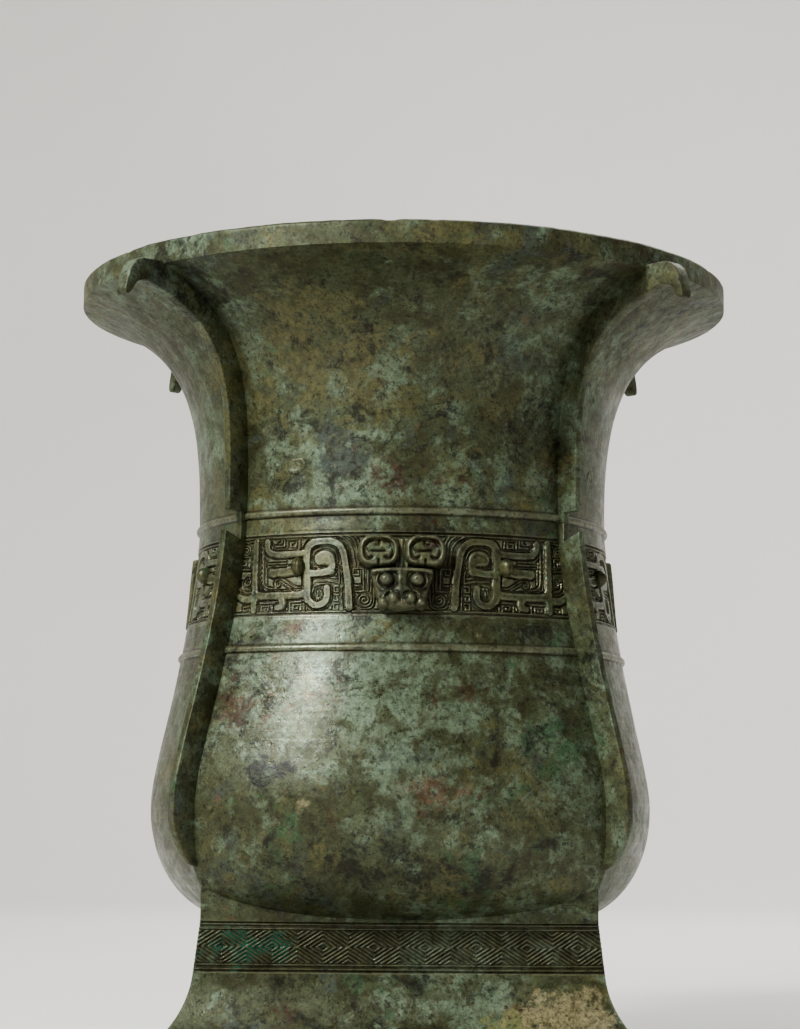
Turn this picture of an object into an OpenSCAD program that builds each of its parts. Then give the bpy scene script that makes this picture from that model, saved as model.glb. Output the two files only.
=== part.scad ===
// Bronze zun: round flared mouth, rounded-square neck and belly, square foot.
// Every level section is four equal arcs, so it can pass from a circle to a square.
// Front is -Y, the origin is the middle of the standing edge.

/* [Heights] */
// height of the square foot
foot_h = 52.6; // [46:0.1:60]
// belly height, from the foot to the seam below the upper bowstring
belly_h = 136.9; // [125:0.1:150]
// neck height, from that seam to the top of the lip
neck_h = 93.5; // [88:0.1:105]
// height of the upright face of the lip
lip_h = 8.6; // [6:0.1:11]
// height of the foot's upright standing edge
edge_h = 8; // [5:0.1:12]

/* [Widths] */
// diameter of the round mouth
mouth_d = 240; // [220:1:260]
// neck width across the faces at its waist
waist_w = 150.6; // [142:0.1:160]
// belly width across the faces where it is widest
belly_w = 182.6; // [172:0.1:192]
// foot width at its top
foot_w = 135; // [128:0.1:142]
// foot width at the standing edge
base_w = 168; // [158:1:180]
// corner reach of the waist over its face, 1 is round
waist_square = 1.045; // [1.02:0.005:1.08]
// corner reach of the belly over its face
belly_square = 1.1; // [1.07:0.005:1.14]
// outward bow of each foot face at its middle
foot_bow = 2; // [1:0.1:3]

/* [Walls and joints] */
// wall thickness of all three shells
wall = 4.5; // [4:0.1:6]
// thickness of the floor
floor_t = 6; // [4.5:0.1:9]
// height of the spigot that the neck sits over
spigot_h = 6; // [4:0.1:9]
// depth of the plug that the foot sits around
plug_h = 6; // [4:0.1:9]
// free space around the spigot and the plug
seat_gap = 0.15; // [0.05:0.05:0.3]

/* [Bowstrings] */
// width of a bowstring
bow_w = 2.6; // [2:0.1:4]
// how far a bowstring stands out of the wall
bow_out = 1.1; // [0.7:0.1:2]
// drop from the seam to the lower bowstring
bow_drop = 45.4; // [42:0.1:50]

/* [Flanges] */
// thickness of a flange
flange_t = 3; // [2:0.1:4]
// thickness of a neck flange at the lip
tab_t = 6; // [4:0.1:8]
// reach of a neck flange from the wall
neck_reach = 8; // [6:0.1:10]
// reach of a belly flange from the wall
belly_reach = 9; // [7:0.1:11]
// reach of the low ridge beside the seam
ridge_reach = 2.5; // [1.5:0.1:4]
// length of the low ridge on each side of the seam
ridge_len = 3.6; // [2.5:0.1:6]
// depth of the tongue in the wall
tongue = 2; // [1.2:0.1:2.6]
// reach of the hooked tab beyond the lip
tab_reach = 12; // [8:0.1:15]
// height of the hooked tab
tab_h = 10.5; // [8:0.1:14]
// lean of the tab's end, outwards from its top to its tip
hook_out = 4; // [2:0.1:6]
// drop of the tip below the tab
hook_drop = 3; // [1:0.1:5]

/* [Sunk relief] */
// depth of the ground between the raised forms of the frieze and the foot's band
sink = 0.6; // [0.3:0.1:1]
// height of the frieze's ground
frieze_h = 26.2; // [22:0.1:28]
// number of lozenges on one side of the foot
lozenge_n = 8; // [6:1:10]
// height of the band of lozenges
band_h = 11; // [8:0.1:13]
// drop from the foot's top to the middle of that band
band_drop = 9.1; // [8:0.1:11]

/* [Masks, ribs and eyes] */
// drop from the seam to the middle of the frieze
frieze_drop = 19.5; // [17:0.1:23]
// depth of the pocket behind a mask
pocket = 1.8; // [1.4:0.1:2.2]
// diameter of the mask's peg
peg_d = 6; // [4:0.1:8]
// width of one horn loop
horn_w = 14.2; // [11:0.1:15]
// width of the raised rim of a horn
horn_rim = 2.3; // [1.6:0.1:3]
// width of the face at the eyes
face_w = 21.4; // [18:0.1:23]
// reach of the horn loops from the wall
horn_out = 3.6; // [2.6:0.1:5]
// reach of the brow from the wall
brow_out = 5.4; // [4:0.1:6.5]
// reach of the snout from the wall
snout_out = 9; // [7:0.1:11]
// eye diameter of a mask
eye_d = 4.9; // [4:0.1:5.6]
// width of the upright rib in the middle of a side face
rib_w = 6; // [4:0.1:8]
// height of that rib
rib_h = 26.6; // [22:0.1:28]
// reach of that rib from the wall
rib_out = 1.7; // [1.2:0.1:3]
// distance of a dragon's eye from the middle of its face
dragon_eye_x = 35.6; // [33:0.1:39]
// height of a dragon's eye above the middle of the frieze
dragon_eye_up = 2.2; // [0:0.1:4]
// diameter of a dragon's eye
dragon_eye_d = 5.6; // [4.5:0.1:7]
// reach of a dragon's eye from the wall
dragon_eye_out = 3.5; // [2.5:0.1:4.5]

/* [Chaplets] */
// side of a square spacer plate
chaplet_w = 7; // [5:0.1:9]
// height of the spacer plates above the seam
chaplet_up = 18.5; // [14:0.1:26]
// distance of a plate from the middle of its face
chaplet_x = 37; // [30:0.1:42]

/* [Hidden] */
$fn = 48;
// points along one face of a level section
face_n = 16;
// points along one side of a level section of the foot
foot_n = 6;
// steps along one stretch of the wall's profile
curve_n = 9;
bronze = [0.36, 0.37, 0.26];
bronze_high = [0.44, 0.43, 0.29];

z_foot = foot_h;
z_seam = foot_h + belly_h;
z_top = z_seam + neck_h;
z_lip = z_top - lip_h;
z_wide = z_foot + 0.28 * belly_h;
z_bow = [z_seam + 0.65 * bow_w, z_seam - bow_drop];
z_frieze = z_seam - frieze_drop;
z_fade = z_foot + 0.12 * belly_h;
z_flange = z_fade + 0.007 * belly_h;
z_rib = z_frieze - 0.06 * rib_h;
z_band = z_foot - band_drop;
frieze_ends = [z_frieze - 0.52 * frieze_h, z_frieze + 0.48 * frieze_h];
frieze_levels = [for (i = [0:6]) mix(frieze_ends[0], frieze_ends[1], i / 6)];
band_ends = [z_band - band_h / 2, z_band + band_h / 2];
mouth_r = mouth_d / 2;
waist_r = waist_w / 2;
belly_r = belly_w / 2;
foot_r = foot_w / 2;
base_r = base_w / 2;
half_wall = wall / 2;
lip_edge = wall / 3;
inner_rise = lip_h * 0.535;
flange_fade = belly_h * 0.117;
lean_span = frieze_drop * 0.667;
// places on a mask, from its middle
horn_h = horn_w * 0.81;
horn_bend = horn_h * 0.4;
face_top = face_w * 0.04;
chin = -face_w * 0.66;
horn_up = face_top * 1.4 + horn_h / 2;

function mix(a, b, t) = a + (b - a) * t;
function clip(t) = max(0, min(1, t));
function ease(t) = clip(t) * clip(t) * (3 - 2 * clip(t));
function bezier(p, t) =
  pow(1 - t, 3) * p[0] + 3 * t * pow(1 - t, 2) * p[1]
  + 3 * t * t * (1 - t) * p[2] + t * t * t * p[3];
function curve(p, n) = [for (i = [0:n]) bezier(p, i / n)];
function flipped(list) = [for (i = [len(list) - 1:-1:0]) list[i]];
function tail(list) = [for (i = [1:len(list) - 1]) list[i]];

// profile of the wall at the middle of a face, as radius and height
neck_line = curve([
  [waist_r, z_seam],
  [waist_r, mix(z_seam, z_lip, 0.53)],
  [mix(waist_r, mouth_r, 0.09), mix(z_seam, z_lip, 0.85)],
  [mouth_r, z_lip]
], 14);
belly_line = curve([
  [belly_r, z_wide],
  [belly_r, mix(z_wide, z_seam, 0.15)],
  [mix(waist_r, belly_r, 0.32), mix(z_wide, z_seam, 0.43)],
  [waist_r, z_seam]
], curve_n);
bowl_line = curve([
  [foot_r + foot_bow, z_foot],
  [mix(foot_r + foot_bow, belly_r, 0.585), mix(z_foot, z_wide, 0.14)],
  [belly_r, mix(z_foot, z_wide, 0.5)],
  [belly_r, z_wide]
], curve_n);
body_line = concat(bowl_line, tail(belly_line));
wall_table = [for (p = concat(body_line, tail(neck_line))) [p[1], p[0]]];
foot_line = concat(
  [[base_r, 0]],
  curve([
    [base_r, edge_h],
    [mix(foot_r, base_r, 0.37), mix(edge_h, z_foot, 0.25)],
    [mix(foot_r, base_r, 0.155), mix(edge_h, z_foot, 0.43)],
    [mix(foot_r, base_r, 0.12), mix(edge_h, z_foot, 0.63)]
  ], 8),
  [[foot_r, z_foot]]
);

foot_table = [for (p = foot_line) [p[1], p[0]]];
frieze_arc = arc_r(face_r(z_frieze), corner_r(z_frieze));

// raised forms of one dragon as middle lines and widths, for a frieze one unit high
dragon_forms = [
  [[[0.71, -0.47], [0.72, -0.12], [0.74, 0.15], [0.8, 0.32], [0.9, 0.4], [1.04, 0.415],
    [1.19, 0.39], [1.27, 0.3], [1.285, 0.08], [1.275, -0.17]], 0.1],
  [[[0.97, 0.28], [0.93, 0.17], [0.95, 0.05], [1.03, -0.01], [1.26, -0.01]], 0.09],
  [[[0.98, -0.19], [0.97, -0.35], [1.06, -0.43], [1.17, -0.43], [1.24, -0.35], [1.26, -0.13]], 0.085],
  [[[1.3, 0.27], [1.8, 0.27], [1.88, 0.31], [1.91, 0.45]], 0.075],
  [[[1.29, -0.23], [1.42, -0.28], [2.05, -0.28]], 0.085],
  [[[2.08, -0.45], [2.08, 0.45]], 0.115]
];

function face_r(z) = lookup(z, wall_table);
function foot_half(z) = lookup(z, foot_table);
function square_at(z) =
  z > z_seam ? mix(waist_square, 1, ease((z - z_seam) / (z_lip - z_seam)))
  : z > z_wide ? mix(waist_square, belly_square, ease((z_seam - z) / (z_seam - z_wide)))
  : mix(belly_square, belly_square + 0.06, ease((z_wide - z) / (z_wide - z_foot)));
function corner_r(z) = face_r(z) * square_at(z);

// arc of one face through its middle at rf and its corner at rc
function arc_r(rf, rc) =
  let (c = rc / sqrt(2), s = rf - c)
  (c * c + s * s) / (2 * s);
function section(rf, rc, z, n = face_n) =
  let (r = arc_r(rf, rc), half = asin(rc / sqrt(2) / r))
  [for (f = [0:3]) for (j = [0:n - 1])
    let (a = half * (2 * j / n - 1), u = r * sin(a), v = r * cos(a) - r + rf)
    [u * cos(90 * f) + v * sin(90 * f), u * sin(90 * f) - v * cos(90 * f), z]];
function wall_ring(z, inset, at) = section(face_r(z) - inset, corner_r(z) - inset, at);
function bow_ring(z, out) = section(face_r(z) + out, corner_r(z) + out, z);
function bow_rings(zb) =
  [for (a = [0:45:180]) bow_ring(zb - cos(a) * bow_w / 2, sin(a) * bow_out)];
function square_ring(half, bow, z) = section(half + bow, half * sqrt(2), z, foot_n);
function foot_ring(z, inset) = square_ring(foot_half(z) - inset, foot_bow, z);

// outline of a band of width w along a middle line
function outward(a, b) = let (d = b - a) [d[1], -d[0]] / norm(d);
function strip(path, w) =
  let (n = len(path) - 1, side = [for (i = [0:n]) outward(path[max(i - 1, 0)], path[min(i + 1, n)]) * w / 2])
  concat([for (i = [0:n]) path[i] + side[i]], [for (i = [n:-1:0]) path[i] - side[i]]);
// place in front of a face that lies p[0] along its arc, with the frieze as the unit
function before_face(p) =
  [frieze_arc * sin(p[0] * frieze_h / frieze_arc * 180 / PI), p[1] * frieze_h];

// skin over a stack of sections, joined end to end or capped
module loft(rings, joined = false) {
  n = len(rings[0]);
  m = len(rings);
  sides = [for (i = [0:joined ? m - 1 : m - 2]) for (j = [0:n - 1])
    let (k = (j + 1) % n, up = ((i + 1) % m) * n, low = i * n)
    each [[low + j, up + j, up + k], [low + j, up + k, low + k]]];
  caps = joined ? [] : [[for (j = [0:n - 1]) j], [for (j = [n - 1:-1:0]) (m - 1) * n + j]];
  polyhedron([for (r = rings) each r], concat(sides, caps));
}

// frame on a face: x along the face, y up the wall, z out of it
module on_face(face, x, z) {
  r = arc_r(face_r(z), corner_r(z));
  lean = atan((face_r(z - lean_span) - face_r(z + lean_span)) / (2 * lean_span));
  rotate([0, 0, 90 * face])
    translate([0, r - face_r(z), 0])
      rotate([0, 0, asin(x / r)])
        translate([0, -r, z])
          rotate([90 - lean, 0, 0])
            children();
}

module on_corner(corner) {
  rotate([0, 0, 225 + 90 * corner])
    rotate([90, 0, 0])
      children();
}

module mouth_neck_shell() {
  outside = [for (p = tail(neck_line)) if (p[1] > z_bow[0] + bow_w) wall_ring(p[1], 0, p[1])];
  lip = [
    section(mouth_r, mouth_r, z_top - lip_edge),
    section(mouth_r - lip_edge, mouth_r - lip_edge, z_top),
    section(mouth_r - wall, mouth_r - wall, z_top)
  ];
  inside = [for (p = flipped(tail(neck_line)))
    if (p[1] > z_seam + spigot_h && p[0] < mouth_r * 0.983) wall_ring(p[1], wall, p[1] + inner_rise)];
  loft(concat(
    [wall_ring(z_seam, 0, z_seam)],
    bow_rings(z_bow[0]),
    outside,
    lip,
    inside,
    [
      wall_ring(z_seam, wall, z_seam + spigot_h),
      wall_ring(z_seam, half_wall, z_seam + spigot_h),
      wall_ring(z_seam, half_wall, z_seam)
    ]
  ), true);
}

module mouth_neck() {
  color(bronze)
    difference() {
      mouth_neck_shell();
      for (i = [0:3]) neck_flange(i);
      for (i = [0:3]) chaplet(i);
    }
}

module belly_outside() {
  below = [for (p = body_line)
    if (p[1] < z_bow[1] - bow_w * 0.8) wall_ring(p[1], 0, p[1])];
  middle = [for (p = body_line)
    if (p[1] > z_bow[1] + bow_w * 0.8 && p[1] < frieze_ends[0] - sink) wall_ring(p[1], 0, p[1])];
  above = [for (p = body_line)
    if (p[1] > frieze_ends[1] + sink) wall_ring(p[1], 0, p[1])];
  loft(concat(below, bow_rings(z_bow[1]), middle,
    [wall_ring(frieze_ends[0], 0, frieze_ends[0])],
    [for (z = frieze_levels) wall_ring(z, sink, z)],
    [wall_ring(frieze_ends[1], 0, frieze_ends[1])],
    above, [
      wall_ring(z_seam, half_wall + seat_gap, z_seam),
      wall_ring(z_seam, half_wall + seat_gap, z_seam + spigot_h - seat_gap)
    ]));
}

// two dragons on each face, left standing when the ground of the frieze is sunk
module dragon() {
  for (form = dragon_forms)
    polygon([for (p = strip(form[0], form[1])) before_face(p)]);
  translate(before_face([dragon_eye_x, dragon_eye_up] / frieze_h))
    circle(d = dragon_eye_d * 1.25);
}

module frieze_forms() {
  intersection() {
    loft([for (z = frieze_levels) wall_ring(z, sink * 0.1, z)]);
    for (face = [0:3])
      rotate([0, 0, 90 * face])
        translate([0, -waist_r / 2, z_frieze])
          rotate([90, 0, 0])
            linear_extrude(belly_r)
              for (side = [0, 1])
                mirror([side, 0])
                  dragon();
  }
}

// corner reach of the inside, from nearly round at the floor
function floor_square(up) = mix(1.02, belly_square, ease(up / (0.146 * belly_h)));

module belly_inside() {
  z_floor = z_foot + floor_t;
  bowl = curve([
    [foot_r * 0.45, z_floor],
    [mix(foot_r, belly_r, 0.4), z_floor],
    [belly_r - wall, mix(z_floor, z_wide, 0.45)],
    [belly_r - wall, z_wide]
  ], 7);
  loft(concat(
    [for (p = bowl) section(p[0], p[0] * floor_square(p[1] - z_floor), p[1])],
    [for (p = tail(belly_line)) wall_ring(p[1], wall, p[1])],
    [wall_ring(z_seam, wall, z_seam + spigot_h + 1)]
  ));
}

module belly() {
  plug = foot_r - wall - seat_gap;
  color(bronze)
    difference() {
      union() {
        belly_outside();
        frieze_forms();
        loft([square_ring(foot_r, foot_bow, z_foot), square_ring(foot_r, foot_bow, z_fade)]);
        translate([-plug, -plug, z_foot - plug_h])
          cube([2 * plug, 2 * plug, plug_h + 1]);
      }
      belly_inside();
      for (i = [0:3]) belly_flange(i);
      for (i = [0, 2]) mask_socket(i);
      for (i = [1, 3]) rib_socket(i);
      for (i = [0:3]) dragon_eye_holes(i);
    }
}

module foot_outside() {
  loft(concat(
    [for (p = foot_line) if (p[1] < band_ends[0]) square_ring(p[0], foot_bow, p[1])],
    [
      foot_ring(band_ends[0], 0), foot_ring(band_ends[0], sink),
      foot_ring(band_ends[1], sink), foot_ring(band_ends[1], 0),
      foot_ring(z_foot, 0)
    ]
  ));
}

module foot_inside() {
  loft(concat(
    [square_ring(base_r - wall, foot_bow, -1)],
    [for (p = foot_line) square_ring(p[0] - wall, foot_bow, p[1])],
    [square_ring(foot_r - wall, foot_bow, z_foot + 1)]
  ));
}

module rhombus(half_w, half_h) {
  polygon([[half_w, 0], [0, half_h], [-half_w, 0], [0, -half_h]]);
}

// row of nested lozenges along one side of the foot
module lozenge_row() {
  pitch = 2 * foot_half(z_band) / lozenge_n;
  half_w = pitch * 0.45;
  half_h = band_h * 0.46;
  for (i = [0:lozenge_n - 1])
    translate([(i - (lozenge_n - 1) / 2) * pitch, 0]) {
      difference() {
        rhombus(half_w, half_h);
        rhombus(half_w * 0.72, half_h * 0.72);
      }
      rhombus(half_w * 0.42, half_h * 0.42);
    }
}

module band_forms() {
  intersection() {
    loft([for (z = band_ends) foot_ring(z, sink * 0.1)]);
    for (face = [0:3])
      rotate([0, 0, 90 * face])
        translate([0, -foot_r / 2, z_band])
          rotate([90, 0, 0])
            linear_extrude(foot_r)
              lozenge_row();
  }
}

module foot() {
  color(bronze)
    difference() {
      union() {
        foot_outside();
        band_forms();
      }
      foot_inside();
    }
}

// outline of a neck flange in its own plane, as reach from the axis and height
function neck_corner(p) = [p[0] * square_at(p[1]), p[1]];
function neck_edge() =
  let (line = [for (p = neck_line) neck_corner(p)])
  [for (i = [1:len(line) - 2]) line[i] + neck_reach * outward(line[i - 1], line[i + 1])];

module neck_flange_outline() {
  tab_top = z_top - 0.9 * lip_h;
  tab_low = tab_top - 0.75 * tab_h;
  tip = [mouth_r + tab_reach + hook_out, tab_top - tab_h - hook_drop];
  low = z_seam + ridge_len;
  inner = [for (p = neck_line) neck_corner(p) - [tongue, 0]];
  edge = [for (p = flipped(neck_edge()))
    if (p[0] < mouth_r * 0.958 && p[1] > low) p];
  polygon(concat(
    inner,
    [
      [mouth_r - tongue, tab_top],
      [mouth_r + tab_reach, tab_top],
      tip,
      tip - [hook_out * 0.8, 0],
      [mouth_r + tab_reach * 0.85, tab_low],
      [mouth_r + tab_reach * 0.4, tab_low]
    ],
    edge,
    [
      [corner_r(low) + neck_reach, low],
      [corner_r(low) + ridge_reach, low],
      [corner_r(z_seam) + ridge_reach, z_seam]
    ]
  ));
}

module neck_flange(corner) {
  reach = mouth_r + tab_reach + hook_out + 1;
  z_spread = mix(z_seam, z_lip, 0.6);
  on_corner(corner)
    intersection() {
      linear_extrude(tab_t, center = true)
        neck_flange_outline();
      rotate([90, 0, 90])
        linear_extrude(reach)
          polygon([
            [z_seam, -flange_t / 2],
            [z_spread, -flange_t / 2],
            [z_lip, -tab_t / 2],
            [z_top, -tab_t / 2],
            [z_top, tab_t / 2],
            [z_lip, tab_t / 2],
            [z_spread, flange_t / 2],
            [z_seam, flange_t / 2]
          ]);
    }
}

// outline of a belly flange, fading into the wall above the foot
module belly_flange_outline() {
  low = z_flange;
  high = z_seam - ridge_len;
  steps = 20;
  levels = [for (i = [0:steps]) mix(low, high, i / steps)];
  polygon(concat(
    [for (z = levels) [corner_r(z) - tongue, z]],
    [
      [corner_r(z_seam) - tongue, z_seam],
      [corner_r(z_seam) + ridge_reach, z_seam],
      [corner_r(high) + ridge_reach, high - 0.3 * belly_reach]
    ],
    [for (z = flipped(levels)) [corner_r(z) + belly_reach * sqrt(clip((z - low) / flange_fade)), z]]
  ));
}

module belly_flange(corner) {
  on_corner(corner)
    linear_extrude(flange_t, center = true)
      belly_flange_outline();
}

module rounded_square(w, h, r) {
  polygon_w = w / 2 - r;
  polygon_h = h / 2 - r;
  square([w, h - 2 * r], center = true);
  square([w - 2 * r, h], center = true);
  for (x = [-polygon_w, polygon_w]) for (y = [-polygon_h, polygon_h])
    translate([x, y])
      circle(r);
}

// place of one horn loop on the mask
module at_horn(side) {
  translate([side * horn_w * 0.56, horn_up])
    children();
}

// outline of the mask: two horn loops over a face that narrows to the chin
module mask_outline() {
  for (s = [-1, 1])
    at_horn(s)
      rounded_square(horn_w, horn_h, horn_bend);
  face_outline();
  translate([-face_w * 0.145, face_top / 2])
    square([face_w * 0.29, horn_up]);
}

module face_outline() {
  polygon([
    [-face_w / 2, face_top], [face_w / 2, face_top],
    [face_w / 2, -face_w * 0.08], [face_w * 0.44, -face_w * 0.3],
    [face_w * 0.4, -face_w * 0.5], [face_w * 0.37, -face_w * 0.59], [face_w * 0.24, chin],
    [-face_w * 0.24, chin], [-face_w * 0.37, -face_w * 0.59], [-face_w * 0.4, -face_w * 0.5],
    [-face_w * 0.44, -face_w * 0.3], [-face_w / 2, -face_w * 0.08]
  ]);
}

// peg and back plate, shared by the mask and its pocket
module mask_seat(top, end) {
  translate([0, 0, -pocket])
    linear_extrude(pocket + top)
      mask_outline();
  translate([0, -face_w * 0.1, -pocket - end])
    cylinder(d = peg_d, h = end + pocket / 2);
}

module mask_socket(face) {
  on_face(face, 0, z_frieze)
    mask_seat(horn_out, wall);
}

// raised loop whose ends meet below, round a plate with two curls and a slot
module horn(side) {
  inner_w = horn_w - 2 * horn_rim;
  inner_h = horn_h - 2 * horn_rim;
  inner_bend = horn_bend - horn_rim * 0.5;
  plate_out = horn_out * 0.55;
  slit = horn_rim * 0.22;
  at_horn(side)
    difference() {
      linear_extrude(horn_out)
        rounded_square(horn_w, horn_h, horn_bend);
      translate([0, 0, plate_out])
        linear_extrude(horn_out)
          difference() {
            rounded_square(inner_w, inner_h, inner_bend);
            translate([0, -inner_h * 0.26])
              for (x = [-inner_w * 0.22, inner_w * 0.22])
                translate([x, 0])
                  circle(d = inner_w * 0.36);
            translate([0, inner_h * 0.16])
              rounded_square(inner_w * 0.72, inner_h * 0.34, inner_h * 0.12);
          }
      translate([-slit / 2, -horn_h, plate_out])
        cube([slit, horn_h * 0.9, horn_out]);
      translate([-inner_w * 0.24, -inner_h * 0.04, plate_out])
        cube([inner_w * 0.48, inner_h * 0.1, horn_out]);
    }
}

// brow bar with the bridge of the nose below it
module brow() {
  linear_extrude(brow_out)
    polygon([
      [-face_w / 2, face_top], [face_w / 2, face_top], [face_w * 0.48, -face_w * 0.06],
      [face_w * 0.12, -face_w * 0.075], [face_w * 0.09, -face_w * 0.2],
      [face_w * 0.14, -face_w * 0.38], [-face_w * 0.14, -face_w * 0.38],
      [-face_w * 0.09, -face_w * 0.2], [-face_w * 0.12, -face_w * 0.075], [-face_w * 0.48, -face_w * 0.06]
    ]);
}

// side view of the face, from the eye sockets over the snout to the chin
module face_block() {
  intersection() {
    linear_extrude(snout_out * 1.1)
      face_outline();
    rotate([0, -90, 0])
      linear_extrude(face_w, center = true)
        polygon([
          [0, face_top], [brow_out * 0.7, face_top], [brow_out * 0.63, -face_w * 0.26],
          [snout_out * 0.68, -face_w * 0.35], [snout_out * 0.78, -face_w * 0.43],
          [snout_out * 0.82, -face_w * 0.5], [snout_out * 0.74, -face_w * 0.58],
          [snout_out * 0.45, chin], [0, chin]
        ]);
  }
}

module mask(face) {
  eye_x = face_w * 0.246;
  nostril_d = face_w * 0.2;
  color(bronze_high)
    on_face(face, 0, z_frieze)
      union() {
        mask_seat(pocket / 2, (wall - pocket) * 0.85);
        horn(-1);
        horn(1);
        brow();
        face_block();
        for (s = [-1, 1]) {
          translate([s * eye_x, -face_w * 0.16, brow_out * 0.61])
            sphere(d = eye_d);
          translate([s * face_w * 0.135, -face_w * 0.46, snout_out - nostril_d / 2])
            sphere(d = nostril_d);
          translate([s * face_w * 0.295, -face_w * 0.515, snout_out * 0.6])
            sphere(d = nostril_d);
        }
      }
}

// section of a side rib: a flat back in its pocket and a narrower crown
module rib_section(crown, out) {
  polygon([
    [-rib_w / 2, -pocket], [rib_w / 2, -pocket], [rib_w / 2, rib_out * 0.4],
    [crown / 2, out], [-crown / 2, out], [-rib_w / 2, rib_out * 0.4]
  ]);
}

module rib_place(face) {
  on_face(face, 0, z_rib)
    translate([0, rib_h / 2, 0])
      rotate([90, 0, 0])
        linear_extrude(rib_h)
          children();
}

module rib_socket(face) {
  rib_place(face)
    rib_section(rib_w, rib_out * 2);
}

module frieze_rib(face) {
  color(bronze_high)
    rib_place(face)
      rib_section(rib_w * 0.7, rib_out);
}

module dragon_eye_holes(face) {
  for (s = [-1, 1])
    on_face(face, s * dragon_eye_x, z_frieze + dragon_eye_up)
      translate([0, 0, -wall * 0.78])
        cylinder(d = dragon_eye_d * 0.7, h = wall * 1.5);
}

module dragon_eyes(face) {
  shank = dragon_eye_d * 0.35;
  seat = dragon_eye_out * 0.03;
  color(bronze_high)
    for (s = [-1, 1])
      on_face(face, s * dragon_eye_x, z_frieze + dragon_eye_up)
        rotate_extrude()
          polygon(concat(
            [[0, -wall * 0.78], [shank, -wall * 0.78], [shank, seat], [dragon_eye_d / 2, seat]],
            [for (a = [10:16:90]) [cos(a) * dragon_eye_d / 2, seat + sin(a) * (dragon_eye_out - seat)]]
          ));
}

module chaplet(face) {
  z = z_seam + chaplet_up;
  on_face(face, -chaplet_x, z)
    translate([-chaplet_w / 2, -chaplet_w / 2, -wall])
      cube([chaplet_w, chaplet_w, wall * 1.067]);
}

module neck_chaplets() {
  color(bronze_high)
    for (i = [0:3]) chaplet(i);
}

module neck_flange_front_left() { color(bronze) neck_flange(0); }
module neck_flange_front_right() { color(bronze) neck_flange(1); }
module neck_flange_back_right() { color(bronze) neck_flange(2); }
module neck_flange_back_left() { color(bronze) neck_flange(3); }
module belly_flange_front_left() { color(bronze) belly_flange(0); }
module belly_flange_front_right() { color(bronze) belly_flange(1); }
module belly_flange_back_right() { color(bronze) belly_flange(2); }
module belly_flange_back_left() { color(bronze) belly_flange(3); }

mouth_neck();
belly();
foot();
neck_flange_front_left();
neck_flange_front_right();
neck_flange_back_right();
neck_flange_back_left();
belly_flange_front_left();
belly_flange_front_right();
belly_flange_back_right();
belly_flange_back_left();
mask(0);  // mask_front
mask(2);  // mask_back
frieze_rib(1);  // frieze_rib_right
frieze_rib(3);  // frieze_rib_left
dragon_eyes(0);  // dragon_eyes_front
dragon_eyes(1);  // dragon_eyes_right
dragon_eyes(2);  // dragon_eyes_back
dragon_eyes(3);  // dragon_eyes_left
neck_chaplets();
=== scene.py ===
"""Looks of a bronze zun wine vessel: cast walls with sunk thread relief, masks, flanges and old patina."""

import math

import bmesh
import bpy
import numpy as np
from mathutils import Matrix, Vector


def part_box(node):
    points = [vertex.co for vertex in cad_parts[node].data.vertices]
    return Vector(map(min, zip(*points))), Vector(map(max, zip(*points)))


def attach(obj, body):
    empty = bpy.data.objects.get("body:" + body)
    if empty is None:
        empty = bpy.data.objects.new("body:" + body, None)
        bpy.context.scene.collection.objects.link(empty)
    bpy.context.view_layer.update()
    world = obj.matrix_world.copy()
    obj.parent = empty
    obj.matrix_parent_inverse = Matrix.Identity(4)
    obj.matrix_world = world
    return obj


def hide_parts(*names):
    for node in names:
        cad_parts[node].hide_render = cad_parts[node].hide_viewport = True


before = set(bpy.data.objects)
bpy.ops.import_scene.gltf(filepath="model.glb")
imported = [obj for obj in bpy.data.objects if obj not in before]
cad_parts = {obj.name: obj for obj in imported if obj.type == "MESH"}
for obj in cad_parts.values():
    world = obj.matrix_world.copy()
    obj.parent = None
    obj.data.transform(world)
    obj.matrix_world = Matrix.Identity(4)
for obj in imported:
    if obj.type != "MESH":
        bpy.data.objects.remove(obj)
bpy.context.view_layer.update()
MM = 0.001


def node_box(node):
    """Lowest and highest corner of a node, in mm."""
    low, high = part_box(node)
    return np.array(low) / MM, np.array(high) / MM


# Driving sizes in mm, read from the frame where a node shows them
z_foot = node_box("foot")[1][2]
z_seam = node_box("mouth_neck")[0][2]
z_top = node_box("mouth_neck")[1][2]
mouth_r = node_box("mouth_neck")[1][0]
belly_r = node_box("belly")[1][0]
foot_bow = 2.0
base_r = node_box("foot")[1][0] - foot_bow
foot_r = 67.5
waist_r = 75.3
lip_h = 8.6
edge_h = 8.0
wall = 4.5
floor_t = 6.0
waist_square = 1.045
belly_square = 1.1
bow_w = 2.6
bow_out = 1.1
bow_drop = 45.4
frieze_drop = 19.5
flange_t = 3.0
tab_t = 6.0
neck_reach = 8.0
belly_reach = 9.0
ridge_reach = 2.5
ridge_len = 3.6
tongue = 2.0
tab_reach = 12.0
tab_h = 10.5
hook_out = 4.0
hook_drop = 3.0
horn_w = 14.2
horn_h = 0.81 * horn_w
face_w = 21.4
horn_out = 3.6
brow_out = 5.4
snout_out = 9.0
rib_w = 6.0
rib_h = 26.6
rib_out = 1.7
dragon_eye_x = 35.6
dragon_eye_up = 2.2
dragon_eye_d = 5.6
dragon_eye_out = 3.5
chaplet_w = 7.0
chaplet_up = 18.5
chaplet_x = 37.0

# Heights worked out from them
z_lip = z_top - lip_h
z_wide = z_foot + 0.28 * (z_seam - z_foot)
z_frieze = z_seam - frieze_drop
z_bow_high = z_seam + 1.7
z_bow_low = z_seam - bow_drop
z_fade = z_foot + 0.12 * (z_seam - z_foot)
frieze_low = z_frieze - 15.0
frieze_h = 29.0
band_low = z_foot - 18.0
band_high = z_foot - 0.6


# Small maths

def mix(a, b, t):
    return a + (b - a) * t


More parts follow.
